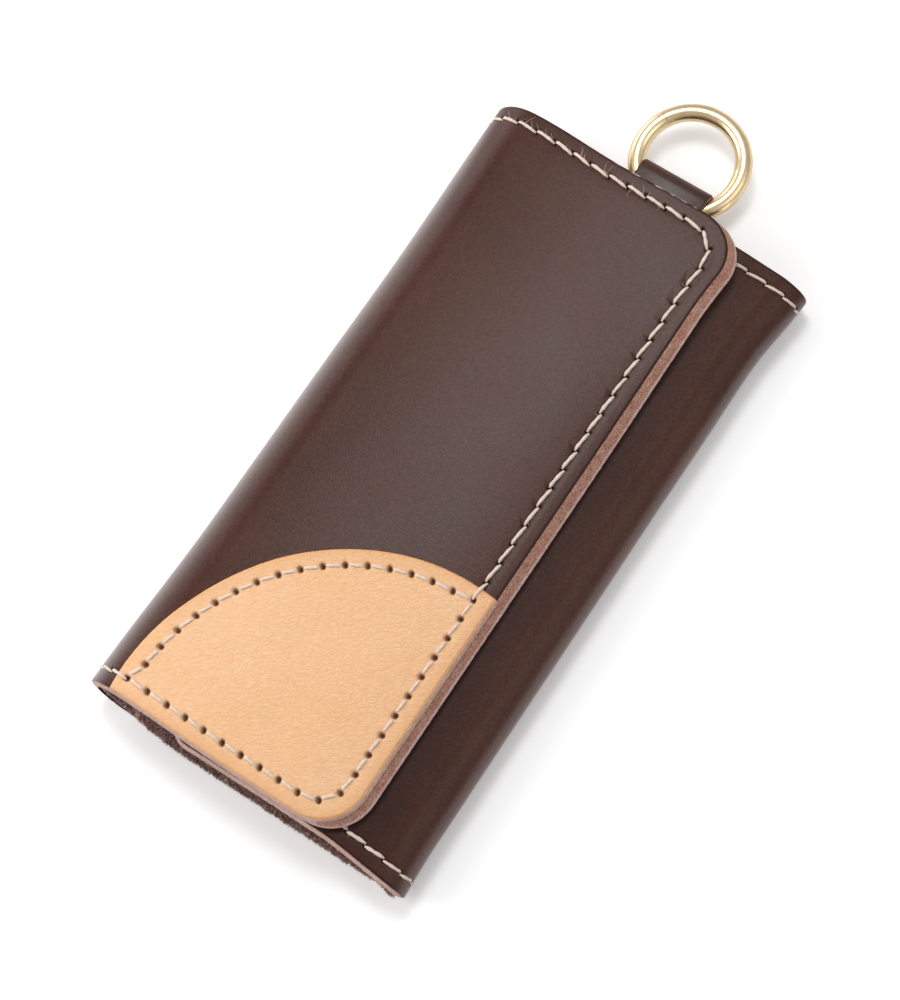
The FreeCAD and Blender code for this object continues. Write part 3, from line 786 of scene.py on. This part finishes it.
def makeLining():
    bm = bmesh.new()
    outlineFace(bm, stripCorners(0, lining["freeEdge"]), lining["spacing"])
    cutSheet(bm, suedeThick, lining["rings"], lining["wallRows"])
    for span in ("left_fold", "right_fold"):
        score(bm, steps(*spans[span][:2], lining["foldStep"]), (1, 0, 0))
    score(bm, steps(flapEdge - 5, leftAxis, 6)[:-1] + steps(innerStart, innerEnd + 4, 4)[1:], (1, 0, 0))
    score(bm, [1 - halfLength] + steps(-halfLength + 4, halfLength - 4, 3.5), (0, 1, 0))
    for face in bm.faces:                # paler along the bottom: pale cut fibres, and painted light from the front
        if face.calc_center_median().y < lining["frayedAndLit"] - halfLength:
            face.material_index = 1
    for vert in bm.verts:
        s, y, n = vert.co
        inside, out = stripEdge(s, y, lining["freeEdge"])
        if inside < lining["edgeWide"]:
            shift = liningShift(s, y, n, inside, out)
            vert.co.x += out.x * shift
            vert.co.y += out.y * shift
    replaced = {"front_flap": "front_flap_lining", "left_fold": "left_fold_lining", "back": "back_lining",
                "right_fold": "right_fold_lining", "inner_flap": "inner_flap_lining"}
    dice = random.Random(41)
    for span, node in replaced.items():
        part = cutSpan(bm, span)
        addPile(part, span, dice)
        roll(part, -leatherThick)
        piece = finishPiece(part, span + "_suede", [suede, pile])
        rideSpan(piece, span)
        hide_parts(node)
    bm.free()


makeLining()
print("suede lining ready")


# Tan corner patch
def makePatch():
    bm = bmesh.new()
    bmesh.ops.create_circle(bm, cap_ends=True, segments=360, radius=patch["radius"],
                            matrix=Matrix.Translation(patch["centre"].to_3d()))
    right = flapEdge - patch["edgeInset"]
    for place, normal in (((right, 0, 0), (1, 0, 0)), ((0, -halfLength, 0), (0, -1, 0))):
        bmesh.ops.bisect_plane(bm, geom=bm.verts[:] + bm.edges[:] + bm.faces[:], dist=1e-4, clear_outer=True,
                               plane_co=place, plane_no=normal)
    corner = [v for v in bm.verts if v.co.x > right - 0.01 and v.co.y < 0.01 - halfLength]
    bmesh.ops.bevel(bm, geom=corner, offset=strip["flapCorner"], offset_type="OFFSET", affect="VERTICES",
                    segments=40, profile=0.5, material=-1)
    divideOutline(bm, patch["spacing"])
    cutSheet(bm, patchThick, patch["rings"], patch["wallRows"])
    score(bm, steps(patch["centre"].x - patch["radius"], right, patch["grid"])[1:-1], (1, 0, 0))
    score(bm, steps(-halfLength, patch["centre"].y + patch["radius"], patch["grid"])[1:-1], (0, 1, 0))
    edgeLayer = bm.verts.layers.float.new("edge")
    for vert in bm.verts:
        s, y, n = vert.co
        inside, out = patchEdge(s, y)
        if inside < 0.02:
            free = max(0, out.x) if s > patch["centre"].x - 6 else 0
            rough = noise.noise(Vector((s * 2, y * 2, n * 3)))
            skive = patch["plainSkive"] + patch["freeSkive"] * free
            shift = skive * -n / patchThick + patch["ragged"] * rough * ramp(0, 0.3, -n)
            vert.co.x += out.x * shift
            vert.co.y += out.y * shift
        if n > -0.01:
            vert.co.z -= patch["roundOver"] * (1 - min(inside / 0.3, 1)) ** 2
            fromSeam = (inside - patch["seamInset"]) / patch["valleyWide"]
            vert.co.z -= patch["valley"] * math.exp(-fromSeam ** 2)
            swell = noise.noise(Vector((s / patch["swellSize"], y / patch["swellSize"], 2.2)))
            vert.co.z += patch["swell"] * swell * ramp(2, 8, inside)
            rim = patch["rimTint"] * (1 - ramp(0.3, patch["seamInset"], inside))
            vert[edgeLayer] = patch["edgeTint"] * (1 - ramp(0.0, 0.5, inside)) + rim
    sewn = [p for p in edgeRow[:-1] if onPatch(p)] + arcRow[1:-1]
    pressHoles(bm, sewn, holes["patch"], patchEdge)
    roll(bm, patchThick)
    piece = finishPiece(bm, "corner_patch_leather", [tanHide, tanCut])
    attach(piece, "front_flap")
    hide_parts("corner_patch")


makePatch()
print("corner patch ready")


# Sewing thread
thread = {
    "plain": {"radius": 0.28, "lift": 0.14, "slant": 0.45, "short": 0.0},
    "fold": {"radius": 0.25, "lift": 0.0, "slant": 0.40, "short": 0.0},
    "tight": {"radius": 0.26, "lift": 0.06, "slant": 0.25, "short": 0.28},   # where it sinks into the patch
    "turns": 1.1,
    "ply": 0.17,
    "taper": 0.35,
    "flatness": 0.85,
    "dive": 1.2,                         # how far its ends go down the holes, in radii
}
lint = {                                 # hairs loose from the thread: how many at a stitch, and how long
    "busy": {"counts": (2, 3, 4), "length": (0.5, 2.2)},
    "plain": {"counts": (0, 0, 1, 2), "length": (0.3, 0.9)},
    "thick": (0.022, 0.036),
    "astray": 0.25,                      # share that points inwards
}


def climb(start, end, startLevel, endLevel, q):
    # height along a stitch, which goes up steeply to the patch's edge and then lies on it
    if abs(endLevel - startLevel) < 0.3:
        return startLevel + (endLevel - startLevel) * q
    if startLevel > endLevel:
        return climb(end, start, endLevel, startLevel, 1 - q)
    outside, inside = -patchEdge(*start)[0], patchEdge(*end)[0]
    return startLevel + (endLevel - startLevel) * min(1, q * (outside + inside) / outside)


def sewStitch(bm, start, end, startLevel, endLevel, look, lean, outward, face, seed):
    # one slanted stitch from hole to hole; face is 1 on the leather and -1 on the lining
    known, knownFaces = len(bm.verts), len(bm.faces)
    bm.from_mesh(threadRod)
    bm.verts.ensure_lookup_table()
    run = end - start
    ahead = run.normalized()
    side = Vector((-ahead.y, ahead.x))
    mirrored = side.dot(outward) < 0
    if mirrored:
        side.negate()
    if mirrored == (face > 0):
        bm.faces.ensure_lookup_table()
        bmesh.ops.reverse_faces(bm, faces=bm.faces[knownFaces:])
    wobble = random.Random(seed)
    slant = lean * look["slant"] * wobble.uniform(0.8, 1.2)
    phase = wobble.uniform(0, math.pi)
    radius = look["radius"] * wobble.uniform(0.94, 1.06)
    for vert in bm.verts[known:]:
        t = vert.co.z
        angle = math.atan2(vert.co.y, vert.co.x)
        tipward = abs(2 * t)
        twist = angle - phase - 2 * math.pi * thread["turns"] * t
        wide = radius * (1 + thread["ply"] * math.cos(2 * twist)) * (1 - thread["taper"] * tipward ** 4)
        centre = start.lerp(end, 0.5 + t * (1 - look["short"]))
        spot = centre + side * (slant * -t + wide * math.cos(angle))
        level = climb(start, end, startLevel, endLevel, t + 0.5)
        height = look["lift"] * (1 - tipward ** 3) - look["radius"] * thread["dive"] * tipward ** 5
        vert.co = (spot.x, spot.y, level + face * (height + thread["flatness"] * wide * math.sin(angle)))


def sewRow(rows, points, edgeOf, level, face, seed):
    for i, (start, end) in enumerate(zip(points, points[1:])):
        middle = (start + end) / 2
        levels = [level(p) for p in (start, end)]
        span = spanOf(middle.x)
        look = thread["fold" if span.endswith("fold") else "plain"]
        if face > 0 and min(levels) > 0.5:
            look = thread["tight"]
        lean = -1 if span in ("right_fold", "inner_flap") else 1
        outward = edgeOf(middle.x, middle.y)[1]
        for tip in (start, end):         # a stitch that reaches on to a fold bends with it
            if spanOf(tip.x).endswith("fold"):
                span = spanOf(tip.x)
        sewStitch(rows[span], start, end, *levels, look, lean, outward, face, seed + i)


def addLint(rows):
    # most of it lies along the top of the front flap
    dice = random.Random(77)
    for start, end in zip(edgeRow, edgeRow[1:]):
        middle = (start + end) / 2
        span = spanOf(middle.x)
        if onPatch(middle):
            continue
        look = lint["busy" if middle.y > 0 and leftAxis - 6 < middle.x < 4 else "plain"]
        outward = stripEdge(middle.x, middle.y)[1]
        for i in range(dice.choice(look["counts"])):
            root = start.lerp(end, dice.uniform(0.1, 0.9)).to_3d() + Vector((0, 0, 0.25))
            length = dice.uniform(*look["length"])
            turn = dice.gauss(0, 0.7) + (math.pi if dice.random() < lint["astray"] else 0)
            away = (Matrix.Rotation(turn, 2) @ outward).to_3d()
            tip = root + away * length + Vector((0, 0, dice.uniform(-0.1, 0.5)))
            curl = Vector((dice.gauss(0, 0.3), dice.gauss(0, 0.3), dice.uniform(0.1, 0.4)))
            bend = root.lerp(tip, 0.5) + curl
            addHair(rows[span], root, bend, tip, dice.uniform(*lint["thick"]))


def sewCase():
    rows = {span: bmesh.new() for span in spans}

    def outerLevel(p):
        return patchThick if onPatch(p) else 0.0

    def liningLevel(p):
        return -leatherThick - suedeThick

    sewRow(rows, edgeRow, stripEdge, outerLevel, 1, 100)
    sewRow(rows, arcRow, patchEdge, lambda p: patchThick, 1, 900)
    sewRow(rows, edgeRow, stripEdge, liningLevel, -1, 1700)
    addLint(rows)
    for span, bm in rows.items():
        roll(bm)
        piece = finishPiece(bm, span + "_thread", [linen], sharp=1.2)
        rideSpan(piece, span)


sewCase()
bpy.data.meshes.remove(hairRod)
bpy.data.meshes.remove(threadRod)
print("thread sewn,", len(edgeRow) + len(arcRow) - 2, "stitches")


# Tab that holds the ring
tab = {
    "thick": 0.9,
    "wider": 0.4,
    "spacing": 0.3,
    "rings": [0.12, 0.15],
    "wallRows": 2,
    "bendSteps": 24,
    "upperRun": 5.1,                     # the upper half runs level behind the ring, then slopes to the lower
    "tail": 3.3,
    "roundOver": 0.12,
}


def tabPath():
    # section of the strip's outer face, from its lower tail round the ring to its upper tail
    low, high = nodeBox("ring_tab")
    plateTop = low.z
    radius = (high.z - low.z) / 2
    bend = high.y - radius
    tailTop = plateTop + 2 * tab["thick"]
    points = [Vector((low.y, plateTop)), Vector((bend, plateTop))]
    points += [Vector((bend + radius * math.sin(a), plateTop + radius - radius * math.cos(a)))
               for a in steps(0, math.pi, math.pi / tab["bendSteps"])[1:]]
    points += [Vector((bend - tab["upperRun"], high.z)), Vector((low.y + tab["tail"], tailTop)),
               Vector((low.y, tailTop))]
    return points, low, high


def makeTab():
    points, low, high = tabPath()
    low.x -= tab["wider"]
    high.x += tab["wider"]
    places = spaceAlong(points, tab["spacing"])
    length = tab["spacing"] * (len(places) - 1)
    bm = bmesh.new()
    outlineFace(bm, [(length, high.x, 0), (0, high.x, 0), (0, low.x, 0), (length, low.x, 0)], tab["spacing"])
    cutSheet(bm, tab["thick"], tab["rings"], tab["wallRows"])
    score(bm, steps(tab["spacing"], length - tab["spacing"], tab["spacing"]), (1, 0, 0))
    edgeLayer = bm.verts.layers.float.new("edge")
    for vert in bm.verts:
        u, x, n = vert.co
        inside = min(high.x - x, x - low.x)
        if n > -0.01:
            n -= tab["roundOver"] * (1 - min(inside / 0.3, 1)) ** 2
            vert[edgeLayer] = 1 - ramp(0.05, 0.5, inside)
        k = min(int(u / tab["spacing"]), len(places) - 2)
        before, after = places[max(k - 1, 0)], places[min(k + 2, len(places) - 1)]
        ahead = (after - before).normalized()
        spot = places[k].lerp(places[k + 1], u / tab["spacing"] - k) + Vector((ahead.y, -ahead.x)) * n
        vert.co = (x, spot.x, spot.y)
    bmesh.ops.recalc_face_normals(bm, faces=bm.faces[:])
    piece = finishPiece(bm, "ring_tab_leather", [tabLitHide, brownCut])
    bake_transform(piece)
    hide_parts("ring_tab")


makeTab()
print("ring tab ready")


# Brass ring, bent from round wire with its ends butted
ring = {
    "wireSides": 40,
    "turnSteps": 220,
    "jointAngle": 150.0,
    "jointGap": 0.014,
    "stouter": 0.07,
    "tilt": 5.0,
}


def makeRing():
    low, high = nodeBox("hanging_ring")
    tabLow, tabHigh = nodeBox("ring_tab")
    wire = (high.z - low.z) / 2
    centre = (low + high) / 2
    reach = (high.x - low.x) / 2 - wire
    wire += ring["stouter"]
    bm = bmesh.new()
    start = math.radians(ring["jointAngle"])
    upright = Matrix.Translation((reach, 0, 0)) @ Matrix.Rotation(math.pi / 2, 4, "X")
    bmesh.ops.create_circle(bm, cap_ends=True, segments=ring["wireSides"], radius=wire, matrix=upright)
    bmesh.ops.rotate(bm, verts=bm.verts, matrix=Matrix.Rotation(start, 3, "Z"))
    bmesh.ops.spin(bm, geom=bm.verts[:] + bm.edges[:] + bm.faces[:], axis=(0, 0, 1), cent=(0, 0, 0),
                   angle=2 * math.pi - ring["jointGap"], steps=ring["turnSteps"], use_merge=False)
    bmesh.ops.translate(bm, verts=bm.verts, vec=centre)
    eye = Vector((centre.x, tabHigh.y - (tabHigh.z - tabLow.z) / 2, centre.z))
    lean = Matrix.Rotation(math.radians(ring["tilt"]), 3, "X")   # it leans up a little in the tab
    bmesh.ops.rotate(bm, verts=bm.verts, cent=eye, matrix=lean)
    bmesh.ops.recalc_face_normals(bm, faces=bm.faces[:])
    piece = finishPiece(bm, "brass_ring", [brass])
    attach(piece, "ring")
    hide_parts("hanging_ring")


makeRing()
fittings = ["key_plate", "plate_rivets", "rivet_backs", "snap_cap", "snap_socket", "snap_stud", "snap_post"]
for number in range(1, 5):
    fittings += [f"key_hook_{number}", f"hook_gate_{number}"]
for name in fittings:
    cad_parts[name].data.materials.clear()
    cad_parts[name].data.materials.append(brass)
print("metal ready")


# Studio
studio = {
    "world": 0.48,
    "lamps": {"key": {"place": (-0.19, 0.22, 0.75), "size": 0.24, "power": 1.9},
              "top": {"place": (-0.10, 0.36, 0.80), "size": 0.40, "power": 0.5},
              "right": {"place": (0.56, 0.15, 0.52), "size": 0.45, "power": 0.7, "diffuse": False},
              "window": {"place": (-0.90, 0.30, 0.21), "size": 0.50, "power": 1.8},
              "side": {"place": (-0.50, -0.30, 0.40), "size": 0.40, "power": 1.7}},
    "floor": tone(252, 252, 252),
    "floorLift": 0.22,
    "floorGlow": (2.2, 2.5),             # what glossy faces see of it, left and right of the case
    "glowSides": (0.024, 0.045),         # it starts in metres from the middle, ends above and fades below
    "glowTop": (0.064, 0.054),
    "glowLow": -0.058,
    "glowFade": 0.85,
}
camera = {
    "place": Vector((100.56, -88.53, 405.58)) * mm,
    "target": Vector((0.361, -2.530, 7.0)) * mm,
    "roll": math.radians(34.418),
    "lens": 95.65,
}


def addFloor():
    bm = bmesh.new()
    bmesh.ops.create_grid(bm, x_segments=1, y_segments=1, size=3.0)
    mesh = bpy.data.meshes.new("floor")
    bm.to_mesh(mesh)
    bm.free()
    floor = bpy.data.objects.new("floor", mesh)
    bpy.context.scene.collection.objects.link(floor)
    material, tree, shader, place = newMaterial("paleFloor")
    shader.inputs["Base Color"].default_value = studio["floor"]
    shader.inputs["Roughness"].default_value = 0.9
    shader.inputs["Specular IOR Level"].default_value = 0.0
    path = addNode(tree, "ShaderNodeLightPath").outputs
    seen = combine(tree, "MAXIMUM", path["Is Camera Ray"], path["Is Transmission Ray"])
    spot = addNode(tree, "ShaderNodeSeparateXYZ", {0: place}).outputs
    left, right = studio["floorGlow"]
    near, far = studio["glowSides"]
    glow = combine(tree, "ADD", spread(tree, spot["X"], -near, -far, 0.0, left),
                   spread(tree, spot["X"], near, far, 0.0, right))
    glow = combine(tree, "MULTIPLY", glow, spread(tree, spot["Y"], *studio["glowTop"]))
    fade = spread(tree, spot["Y"], studio["glowLow"], 0.0, studio["glowFade"], 1.0)
    glow = combine(tree, "MULTIPLY", glow, fade)
    glow = combine(tree, "MULTIPLY", glow, path["Is Glossy Ray"])
    lift = combine(tree, "MAXIMUM", combine(tree, "MULTIPLY", seen, studio["floorLift"]), glow)
    shader.inputs["Emission Color"].default_value = (1, 1, 1, 1)
    tree.links.new(lift, shader.inputs["Emission Strength"])
    mesh.materials.append(material)


def lightStudio():
    world = bpy.data.worlds.new("studio")
    bpy.context.scene.world = world
    world.use_nodes = True
    tree = world.node_tree
    back = tree.nodes["Background"]
    back.inputs["Color"].default_value = (1, 1, 1, 1)
    seen = addNode(tree, "ShaderNodeLightPath").outputs["Is Camera Ray"]
    tree.links.new(spread(tree, seen, 0.0, 1.0, studio["world"], 1.0), back.inputs["Strength"])
    for name, look in studio["lamps"].items():
        light = bpy.data.lights.new(name, "AREA")
        light.size = look["size"]
        light.energy = look["power"]
        lamp = bpy.data.objects.new(name, light)
        lamp.location = look["place"]
        lamp.rotation_euler = (-Vector(look["place"])).to_track_quat("-Z", "Y").to_euler()
        lamp.visible_camera = False
        lamp.visible_diffuse = look.get("diffuse", True)
        bpy.context.scene.collection.objects.link(lamp)


def aimCamera():
    lens = bpy.data.cameras.new("camera")
    lens.lens = camera["lens"]
    lens.sensor_width = 36
    view = bpy.data.objects.new("camera", lens)
    back = (camera["place"] - camera["target"]).normalized()
    right = Vector((0, 1, 0)).cross(back).normalized()
    facing = Matrix((right, back.cross(right), back)).transposed().to_4x4()
    view.matrix_world = Matrix.Translation(camera["place"]) @ facing @ Matrix.Rotation(camera["roll"], 4, "Z")
    bpy.context.scene.collection.objects.link(view)
    bpy.context.scene.camera = view


addFloor()
lightStudio()
aimCamera()
bpy.context.scene.view_settings.view_transform = "Standard"
print("studio ready")
